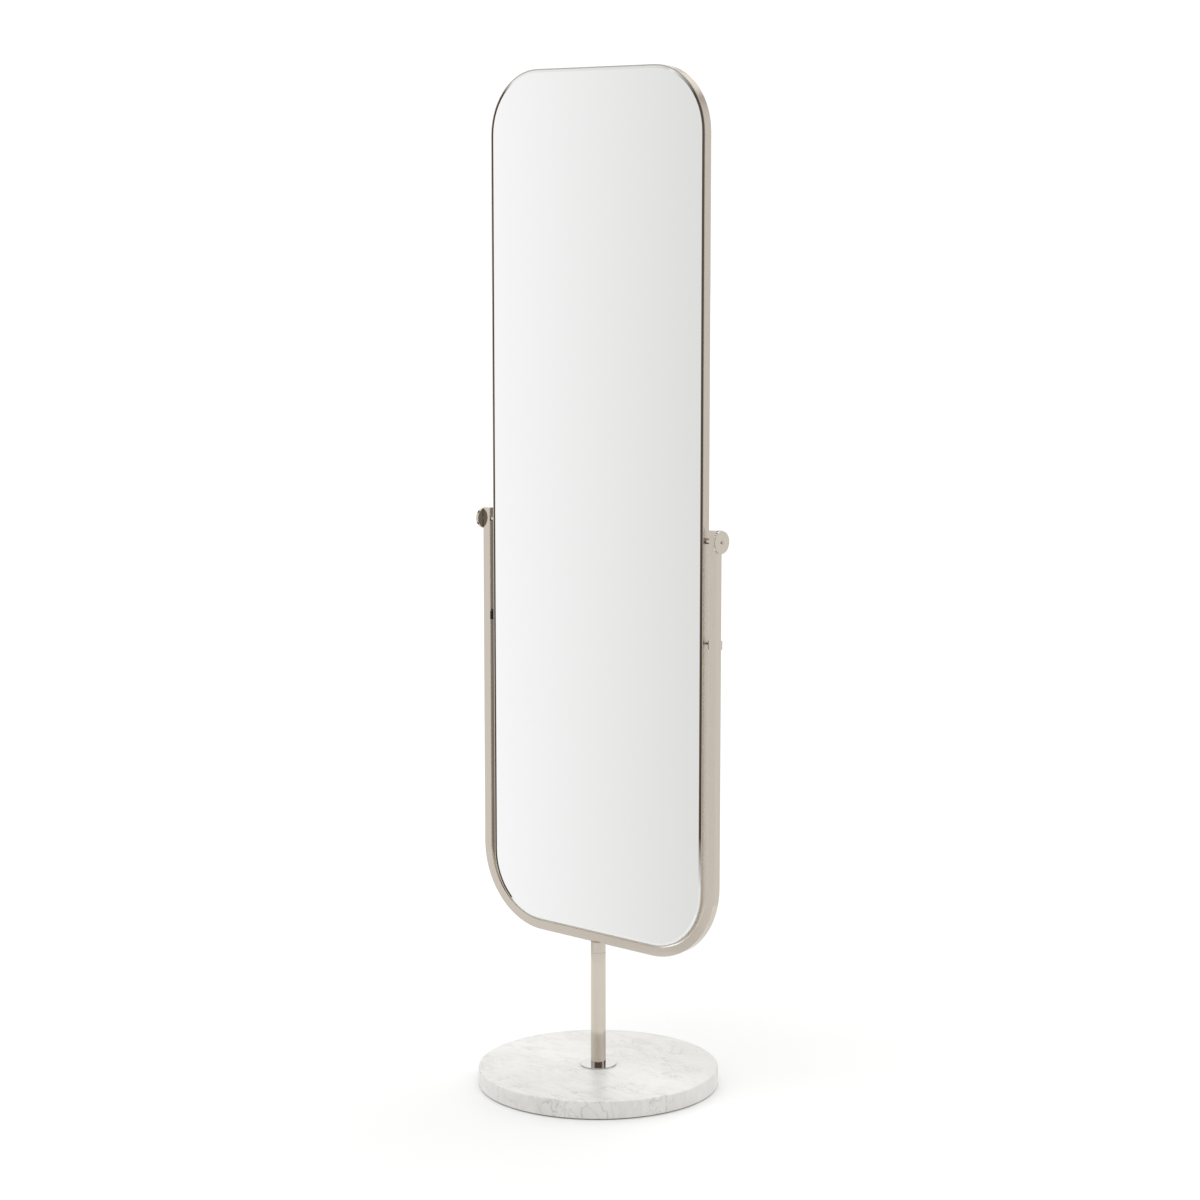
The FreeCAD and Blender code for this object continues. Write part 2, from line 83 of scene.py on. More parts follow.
class MirrorFinishes(bpy.types.PropertyGroup):
    """Colours of the mirror's own finishes; the bevel colour also holds painted shade"""
    nickel: colour("Nickel", "Nickel of the yoke, column, frame and knobs", (0.600, 0.545, 0.475))
    flange: colour("Flange", "Paler nickel of the flange on the marble", (0.590, 0.578, 0.560))
    marble: colour("Marble", "Ground colour of the marble base", (0.745, 0.733, 0.706))
    vein: colour("Vein", "Veins in the marble", (0.400, 0.392, 0.385))
    silver: colour("Silver", "Silvering behind the glass", (0.930, 0.935, 0.930))
    # Darker than the silver: the bevel's green is the glass's own, the darkening is painted shade
    bevel: colour("Bevel", "Ground bevel round the glass", (0.800, 0.830, 0.812))
    zinc: colour("Zinc", "Zinc plating of the screws, washers and blocks", (0.560, 0.570, 0.575))
    rubber: colour("Rubber", "Rubber of the stops and bumpers", (0.012, 0.012, 0.012))
    nylon: colour("Nylon", "Nylon of the bushes", (0.018, 0.018, 0.019))
    felt: colour("Felt", "Felt under the base", (0.060, 0.056, 0.052))
    paint: colour("Paint", "Paint on the back panel", (0.028, 0.028, 0.029))
    hardboard: colour("Hardboard", "Board behind the glass", (0.200, 0.120, 0.062))
    tape: colour("Tape", "Foam tape that holds the glass", (0.022, 0.022, 0.022))


class MirrorHardware(bpy.types.PropertyGroup):
    """Sizes of the fasteners that are shaped here"""
    cross_length: length("Cross length", "Length of the cross recess in a back panel screw", 4.2)
    cross_width: length("Cross width", "Width of the cross recess in a back panel screw", 1.0)
    cross_depth: length("Cross depth", "Depth of the cross recess in a back panel screw", 1.1)
    panel_pitch: length("Panel pitch", "Thread pitch of a back panel screw", 1.2)
    socket_flats: length("Socket flats", "Width across the flats of the socket in a stop screw", 2.5)
    socket_depth: length("Socket depth", "Depth of the socket in a stop screw", 1.6)
    stop_pitch: length("Stop pitch", "Thread pitch of a stop screw", 0.7)
    bolt_flats: length("Bolt flats", "Width across the flats of the bolt head under the base", 16.0)
    bolt_shank: length("Bolt shank", "Radius of the shank of the bolt under the base", 5.0)
    bolt_pitch: length("Bolt pitch", "Thread pitch of the bolt under the base", 1.5)
    lock_split: length("Lock split", "Width of the split in the spring washer", 1.2)
    lock_width: length("Lock width", "Width of the spring washer's ring", 3.6)
    lock_rise: length("Lock rise", "How far the ends of the spring washer stand apart", 0.5)


class MirrorStudio(bpy.types.PropertyGroup):
    """Floor, light, reflections and camera"""
    floor: colour("Floor", "Pale studio floor", (0.900, 0.900, 0.895))
    card: colour("Card", "Dark parts of the card that the polished pieces reflect", (0.085, 0.062, 0.045))
    floor_radius: bpy.props.FloatProperty(
        name="Floor radius", description="Radius of the studio floor", default=40, min=1, unit="LENGTH")
    wall_light: brightness("Wall light", "Brightness of the studio walls", 0.79)
    back_light: brightness("Back light", "How much the wall at the back left is brighter", 0.26)
    ceiling_light: brightness("Ceiling light", "How much the soft light overhead is brighter", 0.65)
    lens: bpy.props.FloatProperty(
        name="Lens", description="Focal length of the camera", default=84.89, min=1, unit="CAMERA")
    camera_place: bpy.props.FloatVectorProperty(
        name="Camera place", description="Where the camera stands", default=(3.1472, -3.4236, 1.4882),
        subtype="TRANSLATION")
    camera_turn: bpy.props.FloatVectorProperty(
        name="Camera turn", description="How the camera is turned", subtype="EULER",
        default=(math.radians(81.917), 0, math.radians(42.555)))


# Node helpers

class Finish:
    """A material in the making; each call adds a node and gives back the output that it is used for."""

    def __init__(self, name):
        self.material = bpy.data.materials.new(name)
        self.material.use_nodes = True
        self.tree = self.material.node_tree
        self.shader = self.tree.nodes["Principled BSDF"]

    def feed(self, node, inputs):
        """Links outputs of other nodes to a node's sockets, and sets the sockets that have plain values."""
        for name, value in inputs.items():
            if isinstance(value, bpy.types.NodeSocket):
                self.tree.links.new(value, node.inputs[name])
            else:
                node.inputs[name].default_value = value

    def surface(self, **inputs):
        """Sets the shader's sockets; an underscore in a name stands for a space."""
        self.feed(self.shader, {name.replace("_", " "): value for name, value in inputs.items()})

    def add(self, kind, inputs, output=0, **choices):
        """A node of a kind, with its sockets fed and its other choices set."""
        node = self.tree.nodes.new(kind)
        for name, value in choices.items():
            setattr(node, name, value)
        self.feed(node, inputs)
        return node.outputs[output]

    def place(self, turn=(0, 0, 0), scale=(1, 1, 1), middle=(0, 0, 0)):
        """A point on the piece in metres, moved so that the middle is at zero, then turned and scaled."""
        point = self.add("ShaderNodeTexCoord", {}, "Object")
        moved = self.add("ShaderNodeVectorMath", {0: point, 1: middle}, operation="SUBTRACT")
        return self.add("ShaderNodeMapping", {"Vector": moved, "Rotation": turn, "Scale": scale})

    def noise(self, where, scale, detail=3, roughness=0.5, output="Fac"):
        return self.add("ShaderNodeTexNoise", {
            "Vector": where, "Scale": scale, "Detail": detail, "Roughness": roughness}, output)

    def spread(self, value, low, high, start=0, end=1):
        """Maps the span low to high of a value to the span start to end, with soft ends."""
        return self.add("ShaderNodeMapRange", {
            "Value": value, "From Min": low, "From Max": high, "To Min": start, "To Max": end},
            interpolation_type="SMOOTHSTEP")

    def math(self, operation, first, second=0.0):
        return self.add("ShaderNodeMath", {0: first, 1: second}, operation=operation)

    def mix(self, amount, first, second):
        return self.add("ShaderNodeMix", {"Factor": amount, 6: first, 7: second}, 2, data_type="RGBA")

    def bump(self, height, strength, depth):
        return self.add("ShaderNodeBump", {"Height": height, "Strength": strength, "Distance": depth})


def shade(rgb, share=1.0):
    """A colour socket's value from three numbers, made lighter or darker by a share."""
    return (*(min(1.0, part * share) for part in rgb), 1.0)


def dress(finish, *names):
    """Gives a finish to frame nodes or new pieces."""
    for name in names:
        piece = NODES.get(name) or bpy.data.objects[name]
        piece.data.materials.clear()
        piece.data.materials.append(finish.material)


# Mesh helpers

def even_angles(count):
    """Angles in equal steps round a full turn."""
    return [2 * math.pi * step / count for step in range(count)]


def turned_mesh(angles, rings):
    """Faces through rings about Z; a ring is a radius and a height, as numbers or functions of the angle."""
    mesh = bmesh.new()
    rows = []
    for radius, height in rings:
        row = []
        for angle in angles if radius else [0.0]:
            out = radius(angle) if callable(radius) else radius
            up = height(angle) if callable(height) else height
            row.append(mesh.verts.new((out * math.cos(angle), out * math.sin(angle), up)))
        rows.append(row)
    for near, far in zip(rows, rows[1:]):
        for step in range(len(angles)):
            following = (step + 1) % len(angles)
            corners = [row[at % len(row)] for row, at in
                       ((near, step), (near, following), (far, following), (far, step))]
            mesh.faces.new(list(dict.fromkeys(corners)))
    bmesh.ops.recalc_face_normals(mesh, faces=mesh.faces)
    return mesh


def new_piece(name, made, places=(Matrix.Identity(4),)):
    """A piece with a copy of the made mesh at each place, smooth except at sharp edges."""
    one = bpy.data.meshes.new(f"{name}_one")
    made.to_mesh(one)
    made.free()
    whole = bmesh.new()
    for place in places:
        copy = one.copy()
        copy.transform(place)
        whole.from_mesh(copy)
        bpy.data.meshes.remove(copy)
    bpy.data.meshes.remove(one)
    mesh = bpy.data.meshes.new(name)
    whole.to_mesh(mesh)
    whole.free()
    mesh.polygons.foreach_set("use_smooth", [True] * len(mesh.polygons))
    mesh.set_sharp_from_angle(angle=SHARP_ANGLE)
    piece = bpy.data.objects.new(name, mesh)
    bpy.context.scene.collection.objects.link(piece)
    return piece


def stand_in(piece, body, node):
    """Lets a new piece take the place of a frame node."""
    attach(piece, body)
    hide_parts(node)


def solid_boxes(node, reach):
    """Lowest and highest corner of each solid of a node whose solids are small and far apart."""
    groups = []
    for vertex in NODES[node].data.vertices:
        for group in groups:
            if (vertex.co - group[0]).length < reach:
                group.append(vertex.co.copy())
                break
        else:
            groups.append([vertex.co.copy()])
    return [tuple(Vector(pick(point[axis] for point in group) for axis in range(3)) for pick in (min, max))
            for group in groups]


# Marble base

# Value of the noise that a vein follows
VEIN_LEVEL = 0.5


def marble_finish(settings):
    """Pale marble: a warped ground, soft grey clouds and fine broken veins, all through the stone."""
    finish = Finish("marble")
    where = finish.place(turn=(0.25, 0.35, 0.7), scale=(1.0, 1.8, 0.8))
    drift = finish.noise(where, 7, detail=4, output="Color")
    swing = finish.add("ShaderNodeVectorMath", {0: drift, 1: (0.09, 0.09, 0.09)}, operation="MULTIPLY")
    warped = finish.add("ShaderNodeVectorMath", {0: where, 1: swing}, operation="ADD")
    clouds = finish.spread(finish.noise(warped, 17, detail=9, roughness=0.70), 0.40, 0.72, 0, 0.27)
    patches = finish.spread(finish.noise(where, 8, detail=2), 0.40, 0.58)

    def vein(scale, width, strength):
        level = finish.noise(warped, scale, detail=5, roughness=0.55)
        ridge = finish.math("ABSOLUTE", finish.math("SUBTRACT", level, VEIN_LEVEL))
        line = finish.spread(ridge, 0, width, strength, 0)
        return finish.math("MULTIPLY", line, patches)

    broad_veins = vein(scale=9, width=0.014, strength=0.44)
    fine_veins = vein(scale=23, width=0.026, strength=0.27)
    amount = finish.math("ADD", clouds, finish.math("MAXIMUM", broad_veins, fine_veins))
    finish.surface(
        Base_Color=finish.mix(amount, shade(settings.marble), shade(settings.vein)),
        Roughness=finish.spread(finish.noise(where, 60), 0.3, 0.7, 0.32, 0.42), Specular_IOR_Level=0.4,
        Subsurface_Weight=0.12, Subsurface_Radius=(0.006, 0.006, 0.005), Subsurface_Scale=1.0,
        Normal=finish.bump(finish.noise(where, 240, detail=2), strength=0.03, depth=0.4 * MM))
    return finish


def felt_finish(settings):
    """Pressed felt: short fibres in every direction."""
    finish = Finish("felt")
    where = finish.place()
    fibres = finish.noise(where, 900, detail=5, roughness=0.75)
    tufts = finish.noise(where, 120, detail=3)
    finish.surface(
        Base_Color=finish.mix(finish.math("MULTIPLY", fibres, tufts), shade(settings.felt, 0.6),
                              shade(settings.felt, 2.6)),
        Roughness=0.95, Sheen_Weight=0.35, Sheen_Roughness=0.6,
        Normal=finish.bump(fibres, strength=0.6, depth=0.8 * MM))
    return finish


class FLOORMIRROR_OT_base(bpy.types.Operator):
    """Give the marble base and its felt pad their finishes"""
    bl_idname = "floor_mirror.base"
    bl_label = "Marble base"

    def execute(self, context):
        settings = context.scene.floor_mirror_finishes
        dress(marble_finish(settings), "marble_base")
        dress(felt_finish(settings), "base_pad")
        return {"FINISHED"}


# Nickel pieces

NICKEL_NODES = ["column_tube", "yoke_socket", "yoke_tube"]
NICKEL_NODES += both("arm_end_cap", "stop_plate", "pivot_spacer", "pivot_stud", "knob")


# How much each nickel finish blurs what it reflects, as the shader's roughness, and what the haze adds to it
POLISHED_BLUR = 0.08
FLANGE_BLUR = 0.12
SATIN_BLUR = 0.26
HAZE_BLUR = 0.05


def nickel_finish(name, metal, blur):
    """Nickel plating with faint polishing haze and a trace of waviness from the buffing wheel."""
    finish = Finish(name)
    where = finish.place()
    haze = finish.noise(where, 35, detail=5, roughness=0.6)
    lines = finish.noise(finish.place(scale=(900, 900, 40)), 1, detail=2)
    dullness = finish.math("MULTIPLY", haze, lines)
    finish.surface(
        Base_Color=finish.mix(haze, shade(metal, 0.985), shade(metal, 1.015)),
        Metallic=1.0,
        Roughness=finish.spread(dullness, 0.1, 0.45, blur, blur + HAZE_BLUR),
        Normal=finish.bump(finish.noise(where, 18, detail=2), strength=0.012, depth=1.0 * MM))
    return finish


class FLOORMIRROR_OT_metalwork(bpy.types.Operator):
    """Give the yoke, column, frame, flange, knobs and stop plates their nickel"""
    bl_idname = "floor_mirror.metalwork"
    bl_label = "Nickel metalwork"

    def execute(self, context):
        settings = context.scene.floor_mirror_finishes
        dress(nickel_finish("polished_nickel", settings.nickel, POLISHED_BLUR), *NICKEL_NODES)
        dress(nickel_finish("satin_nickel", settings.nickel, SATIN_BLUR), "mirror_frame")
        dress(nickel_finish("pale_nickel", settings.flange, FLANGE_BLUR), "base_flange")
        return {"FINISHED"}


# Glass and back

# How squarely a face looks to the front or back, at least, to be the flat of the glass
FLAT_FACING = 0.999


def silver_finish(settings):
    """Silvered glass: clear on the flat, darker and a little greener on the ground bevel, with faint wiping
    marks; the bevel's green is the glass's own and its darkening is painted shade.
    """
    finish = Finish("mirror_silver")
    normal = finish.add("ShaderNodeNewGeometry", {}, "True Normal")
    facing = finish.math("ABSOLUTE", finish.add("ShaderNodeSeparateXYZ", {0: normal}, "Y"))
    flat = finish.math("GREATER_THAN", facing, FLAT_FACING)
    wiping = finish.noise(finish.place(turn=(0, 0.5, 0), scale=(9, 9, 2.5)), 1, detail=4)
    finish.surface(
        # The bevel gets a colour darker than the silver: painted shade on the bevel, with the glass's own
        # green
        Base_Color=finish.mix(flat, shade(settings.bevel), shade(settings.silver)),
        Metallic=1.0,
        Roughness=finish.spread(wiping, 0.35, 0.75, 0.004, 0.014))
    return finish


def paint_finish(settings):
    """Matt black paint with a slight orange peel and rubbed, paler spots."""
    finish = Finish("painted_board")
    where = finish.place()
    rub = finish.spread(finish.noise(where, 9, detail=6, roughness=0.65), 0.5, 0.75)
    finish.surface(
        Base_Color=finish.mix(rub, shade(settings.paint), shade(settings.paint, 1.25)),
        Roughness=finish.spread(rub, 0, 1, 0.52, 0.66),
        Normal=finish.bump(finish.noise(where, 420, detail=2), strength=0.18, depth=0.6 * MM))
    return finish


def hardboard_finish(settings):
    """Raw hardboard: pressed brown wood fibre."""
    finish = Finish("hardboard")
    where = finish.place(scale=(1, 1, 0.35))
    fibre = finish.noise(where, 260, detail=6, roughness=0.7)
    finish.surface(
        Base_Color=finish.mix(fibre, shade(settings.hardboard, 0.6), shade(settings.hardboard, 1.4)),
        Roughness=0.82, Normal=finish.bump(fibre, strength=0.3, depth=0.5 * MM))
    return finish


def foam_finish(settings):
    """Foam tape: small open cells."""
    finish = Finish("foam_tape")
    cells = finish.add("ShaderNodeTexVoronoi", {"Vector": finish.place(), "Scale": 900.0}, "Distance")
    finish.surface(
        Base_Color=finish.mix(cells, shade(settings.tape, 0.5), shade(settings.tape, 1.6)),
        Roughness=0.9, Normal=finish.bump(cells, strength=0.5, depth=0.5 * MM))
    return finish


class FLOORMIRROR_OT_glass(bpy.types.Operator):
    """Give the glass its silver and the layers behind it their finishes"""
    bl_idname = "floor_mirror.glass"
    bl_label = "Glass and back"

    def execute(self, context):
        settings = context.scene.floor_mirror_finishes
        dress(silver_finish(settings), "mirror_glass")
        dress(foam_finish(settings), "glass_tape")
        dress(hardboard_finish(settings), "backing_board")
        dress(paint_finish(settings), "back_panel")
        return {"FINISHED"}


# Rubber and nylon

def rubber_finish(settings):
    """Moulded rubber with a fine grain and a dusty bloom."""
    finish = Finish("black_rubber")
    where = finish.place()
    bloom = finish.spread(finish.noise(where, 160, detail=4), 0.4, 0.75)
    finish.surface(
        Base_Color=finish.mix(bloom, shade(settings.rubber), shade(settings.rubber, 2.2)),
        Roughness=finish.spread(bloom, 0, 1, 0.55, 0.75),
        Normal=finish.bump(finish.noise(where, 1800, detail=2), strength=0.25, depth=0.3 * MM))
    return finish


def nylon_finish(settings):
    """Turned nylon with fine tool rings round the pivot axis."""
    finish = Finish("black_nylon")
    low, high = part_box("pivot_stud_right")
    where = finish.place(middle=(0, (low.y + high.y) / 2, (low.z + high.z) / 2))
    rings = finish.add("ShaderNodeTexWave", {"Vector": where, "Scale": 420.0, "Distortion": 0.4},
                       "Fac", wave_type="RINGS", rings_direction="X")
    finish.surface(
        Base_Color=finish.mix(rings, shade(settings.nylon, 0.8), shade(settings.nylon, 1.4)),
        Roughness=finish.spread(rings, 0, 1, 0.36, 0.48),
        Normal=finish.bump(rings, strength=0.15, depth=0.2 * MM))
    return finish


class FLOORMIRROR_OT_cushioning(bpy.types.Operator):
    """Give the rubber stops and bumpers and the nylon bushes their finishes"""
    bl_idname = "floor_mirror.cushioning"
    bl_label = "Rubber and nylon"

    def execute(self, context):
        settings = context.scene.floor_mirror_finishes
        dress(rubber_finish(settings), *both("stop_pad", "side_bumper"))
        dress(nylon_finish(settings), *both("pivot_bush"))
        return {"FINISHED"}


# Fasteners

ZINC_NODES = ["base_washer", "column_lower_plug", "column_upper_plug", "yoke_stud", "panel_tabs"]
ZINC_NODES += both("pivot_block", "knob_washer")
# Steps round a turned fastener and along the spring washer
ROUND_STEPS = 72
SPRING_STEPS = 60
# Length without thread under the head of a screw
PLAIN_NECK = 0.2 * MM
# Radius of the shank of a node's screws, as a share of the radius of their heads
SHANK_TO_HEAD = {"back_screws": 0.49, "stop_screws": 0.5}


def zinc_finish(settings):
    """Zinc plating: cool grey with a faint warm and blue play of colour."""
    finish = Finish("zinc_steel")
    where = finish.place()
    play = finish.noise(where, 90, detail=3)
    warm, cool = (shade([part * tint for part, tint in zip(settings.zinc, tints)])
                  for tints in ((1.06, 1.02, 0.92), (0.94, 0.99, 1.06)))
    finish.surface(
        Base_Color=finish.mix(finish.spread(play, 0.35, 0.65), warm, cool), Metallic=1.0,
        Roughness=finish.spread(finish.noise(where, 500), 0.3, 0.7, 0.24, 0.4),
        Normal=finish.bump(finish.noise(where, 1500, detail=2), strength=0.06, depth=0.2 * MM))
    return finish


def thread_rings(radius, depth, start, end, pitch):
    """Ring after ring of a thread, from start to end along the axis."""
    count = max(1, round((end - start) / pitch))
    step = (end - start) / count
    rings = []
    for turn in range(count):
        rings += [(radius - depth, start + step * turn), (radius, start + step * (turn + 0.5))]
    return rings + [(radius - depth, end)]


def dome_rings(radius, height, crown, rim, count=7):
    """Rings over a screw head, from its rim at the seat to a flat crown of the given radius."""
    rings = [(radius, 0.0), (radius, rim)]
    for step in range(1, count + 1):
        turn = math.pi / 2 * step / count
        rings.append((crown + (radius - crown) * math.cos(turn), rim + (height - rim) * math.sin(turn)))
    return rings


def cross_angles(span, width):
    """Angles that hit every corner of a cross recess, with steps between them for a round head."""
    corner = math.atan2(width, span)
    eighth = [0, corner / 2, corner, (2 * corner + math.pi / 4) / 3, (corner + math.pi / 2) / 3]
    quarter = eighth + [math.pi / 4] + [math.pi / 2 - angle for angle in reversed(eighth[1:])]
    return [turn * math.pi / 2 + angle for turn in range(4) for angle in quarter]


def cross_radius(span, width):
    """Outline of a cross, as the distance from its middle at an angle."""
    def radius(angle):
        longer, shorter = sorted((abs(math.cos(angle)), abs(math.sin(angle))), reverse=True)
        end = span / 2 / longer
        return min(end, width / 2 / shorter) if shorter > 1e-9 else end
    return radius


def hexagon_radius(flats):
    """Outline of a hexagon, as the distance from its middle at an angle."""
    def radius(angle):
        return flats / 2 / math.cos((angle + math.pi / 6) % (math.pi / 3) - math.pi / 6)
    return radius


def cross_screw(settings, head, head_height, shank, shank_length):
    """A pan head screw with a cross recess, seat at zero, head up."""
    tip = -shank_length
    thread_start = tip + shank
    point = shank * 0.45
    groove = shank * 0.14
    crown = settings.cross_length * 0.56
    rim = head_height * 0.35
    mouth = cross_radius(settings.cross_length, settings.cross_width)
    floor = cross_radius(settings.cross_length * 0.55, settings.cross_width * 0.9)
    floor_height = head_height - settings.cross_depth
    middle_height = head_height - settings.cross_depth * 1.15
    rings = [(0, tip), (point, thread_start)]
    rings += thread_rings(shank, groove, thread_start, -PLAIN_NECK, settings.panel_pitch)
    rings += dome_rings(head, head_height, crown, rim)
    rings += [(mouth, head_height), (floor, floor_height), (0, middle_height)]
    return turned_mesh(cross_angles(settings.cross_length, settings.cross_width), rings)


def socket_screw(settings, head, head_height, shank, shank_length):
    """A button head screw with a hexagon socket, seat at zero, head up."""
    tip = -shank_length
    thread_start = tip + 0.3 * MM
    point = shank * 0.8
    groove = shank * 0.12
    crown = settings.socket_flats * 0.75
    rim = head_height * 0.2
    outline = hexagon_radius(settings.socket_flats)
    lip = 0.15 * MM
    bottom = head_height - settings.socket_depth
    drill_point = bottom - 0.4 * MM

    def mouth(angle):
        return outline(angle) + lip

    rings = [(0, tip), (point, tip)]
    rings += thread_rings(shank, groove, thread_start, -PLAIN_NECK, settings.stop_pitch)
    rings += dome_rings(head, head_height, crown, rim)
    rings += [(mouth, head_height), (outline, head_height - lip), (outline, bottom), (0, drill_point)]
    return turned_mesh(even_angles(ROUND_STEPS), rings)


def facing_back(low, high, seat):
    """Places a screw, seat at zero and head up, on a seat that faces the back."""
    return (Matrix.Translation(((low.x + high.x) / 2, seat, (low.z + high.z) / 2))
            @ Matrix.Rotation(-math.pi / 2, 4, "X"))


def rear_screws(name, node, seat_node, body, maker, settings):
    """Screws in place of a node's plain ones, driven from behind into the seat node's back face."""
    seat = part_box(seat_node)[1].y
    boxes = solid_boxes(node, reach=15 * MM)
    low, high = boxes[0]
    head = (high.x - low.x) / 2
    made = maker(settings, head, high.y - seat, head * SHANK_TO_HEAD[node], seat - low.y)
    piece = new_piece(name, made, [facing_back(low, high, seat) for low, high in boxes])
    stand_in(piece, body, node)


def hex_bolt(settings):
    """The bolt under the base: a chamfered hexagon head, head down, and a threaded shank."""
    low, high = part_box("base_bolt")
    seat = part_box("base_lock_washer")[0].z
    outline = hexagon_radius(settings.bolt_flats)
    chamfer = settings.bolt_flats * 0.475
    chamfer_slope = math.tan(math.radians(30))
    washer_face = settings.bolt_flats * 0.47
    washer_face_start = seat - 0.4 * MM
    shank = settings.bolt_shank
    groove = 0.5 * MM
    thread_start = seat + 12 * MM
    thread_end = high.z - 1 * MM
    point = shank * 0.8

    def chamfer_height(angle):
        return low.z + (outline(angle) - chamfer) * chamfer_slope

    rings = [(0, low.z), (chamfer, low.z), (outline, chamfer_height), (outline, washer_face_start),
             (washer_face, washer_face_start), (washer_face, seat), (shank, seat)]
    rings += thread_rings(shank, groove, thread_start, thread_end, settings.bolt_pitch)
    rings += [(point, high.z), (0, high.z)]
    return turned_mesh(even_angles(ROUND_STEPS), rings)


def spring_washer(settings):
    """A split washer: a square section swept round nearly a full turn, its ends sprung apart."""
    low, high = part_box("base_lock_washer")
    outer = (high.x - low.x) / 2
    inner = outer - settings.lock_width
    gap = settings.lock_split / outer
    mesh = bmesh.new()
    rows = []
    for step in range(SPRING_STEPS + 1):
        share = step / SPRING_STEPS
        angle = gap / 2 + (2 * math.pi - gap) * share
        bottom = low.z + settings.lock_rise * share
        top = high.z - settings.lock_rise * (1 - share)
        rows.append([mesh.verts.new((radius * math.cos(angle), radius * math.sin(angle), up))
                     for radius, up in ((inner, bottom), (outer, bottom), (outer, top), (inner, top))])
    for near, far in zip(rows, rows[1:]):
        for side in range(4):
            mesh.faces.new((near[side], near[side - 1], far[side - 1], far[side]))
    mesh.faces.new(rows[0])
    mesh.faces.new(reversed(rows[-1]))
    bmesh.ops.recalc_face_normals(mesh, faces=mesh.faces)
    return mesh


class FLOORMIRROR_OT_fasteners(bpy.types.Operator):
    """Build the screws, the base bolt and its spring washer, and give the zinc plated pieces their finish"""
    bl_idname = "floor_mirror.fasteners"
    bl_label = "Fasteners"

    def execute(self, context):
        settings = context.scene.floor_mirror_hardware
        rear_screws("panel_screws", "back_screws", "back_panel", "mirror", cross_screw, settings)
        rear_screws("stop_plate_screws", "stop_screws", "stop_plate_left", "stand", socket_screw, settings)
        bolt = new_piece("hex_bolt", hex_bolt(settings))
        stand_in(bolt, "stand", "base_bolt")
        washer = new_piece("spring_washer", spring_washer(settings))
        stand_in(washer, "stand", "base_lock_washer")
        dress(zinc_finish(context.scene.floor_mirror_finishes), *ZINC_NODES,
              "panel_screws", "stop_plate_screws", "hex_bolt", "spring_washer")
        return {"FINISHED"}


# Stage

def floor_finish(settings):
    """Pale matt floor with a hardly seen mottle."""
    finish = Finish("studio_floor")
    mottle = finish.noise(finish.place(), 3, detail=2)
    finish.surface(
        Base_Color=finish.mix(mottle, shade(settings.floor, 0.99), shade(settings.floor, 1.01)),
        Roughness=0.9, Specular_IOR_Level=0.1)
    return finish


def card_finish(settings):
    """A card that only reflections see; it runs from dark to white with the mesh's glow."""
    finish = Finish("reflection_card")
    glow = finish.add("ShaderNodeAttribute", {}, "Fac", attribute_name="glow")
    finish.surface(
        Base_Color=(0, 0, 0, 1), Roughness=1.0, Specular_IOR_Level=0.0,
        Emission_Color=finish.mix(glow, shade(settings.card), (1, 1, 1, 1)), Emission_Strength=1.0)
    return finish


# The reflection card, in metres and, for its steps, degrees
CARD_RADIUS = 0.8
CARD_HEIGHT = 2.2
CARD_STEP = 4
# Glow of the card's foot, and where it has faded out, as a share of the foot's height
FOOT_GLOW = 0.95
FOOT_FADE = 1.6
# Round the card, in degrees from the front towards the right: height of its pale foot in metres, glow above
# the foot and glow at the top
CARD_POSTS = (
    (-84, 0.01, 1.00, 1.00), (-80, 0.01, 0.00, 0.00), (-69, 0.01, 0.00, 0.00), (-65, 0.01, 1.00, 1.00),
    (-56, 0.01, 0.99, 0.99), (-27.4, 0.01, 0.76, 0.76), (-26.8, 0.01, 0.95, 0.95), (-24.5, 0.01, 0.95, 0.95),
    (-18, 0.17, 0.50, 0.50), (-8, 0.17, 0.00, 0.00), (0, 0.17, 0.00, 0.05),
    (10, 0.06, 0.00, 0.85), (98, 0.06, 0.00, 0.85), (116, 0.06, 0.95, 0.95), (134, 0.06, 0.95, 0.95),
    (142, 0.06, 0.22, 0.22), (156, 0.06, 0.22, 0.22), (162, 0.06, 0.04, 0.04), (198, 0.06, 0.04, 0.04),
    (206, 0.06, 1.00, 1.00))


def card_mesh():
    """A round wall about most of the mirror, which holds the glow of each direction."""
    mesh = bmesh.new()
    layer = mesh.verts.layers.float.new("glow")
    before = None
    for start, end in zip(CARD_POSTS, CARD_POSTS[1:]):
        steps = max(2, round((end[0] - start[0]) / CARD_STEP))
        for step in range(steps + 1):
            direction, foot, glow, top = (low + (high - low) * step / steps for low, high in zip(start, end))
            angle = math.radians(direction)
            x, y = CARD_RADIUS * math.sin(angle), -CARD_RADIUS * math.cos(angle)
            levels = ((0, FOOT_GLOW), (foot, FOOT_GLOW), (foot * FOOT_FADE, glow), (CARD_HEIGHT, top))
            post = []
            for z, bright in levels:
                vertex = mesh.verts.new((x, y, z))
                vertex[layer] = bright
                post.append(vertex)
            if step:
                for row in range(len(post) - 1):
                    mesh.faces.new((before[row], post[row], post[row + 1], before[row + 1]))
            before = post
    return mesh


FLOOR_STEPS = 128
CAMERA_REACH = 200


def studio_world(settings):
    """Soft light all round that grows towards the ceiling and the back left."""
    world = bpy.data.worlds.new("studio")
    world.use_nodes = True
    tree = world.node_tree
    way = tree.nodes.new("ShaderNodeTexCoord")
    rise = tree.nodes.new("ShaderNodeVectorMath")
    rise.operation = "DOT_PRODUCT"
    side = settings.back_light * math.sqrt(0.5)
    rise.inputs[1].default_value = (-side, side, settings.ceiling_light)
    total = tree.nodes.new("ShaderNodeMath")
    total.inputs[1].default_value = settings.wall_light
    tree.links.new(way.outputs["Generated"], rise.inputs[0])
    tree.links.new(rise.outputs["Value"], total.inputs[0])
    tree.links.new(total.outputs[0], tree.nodes["Background"].inputs["Strength"])
    tree.nodes["Background"].inputs["Color"].default_value = (1, 1, 1, 1)
    return world


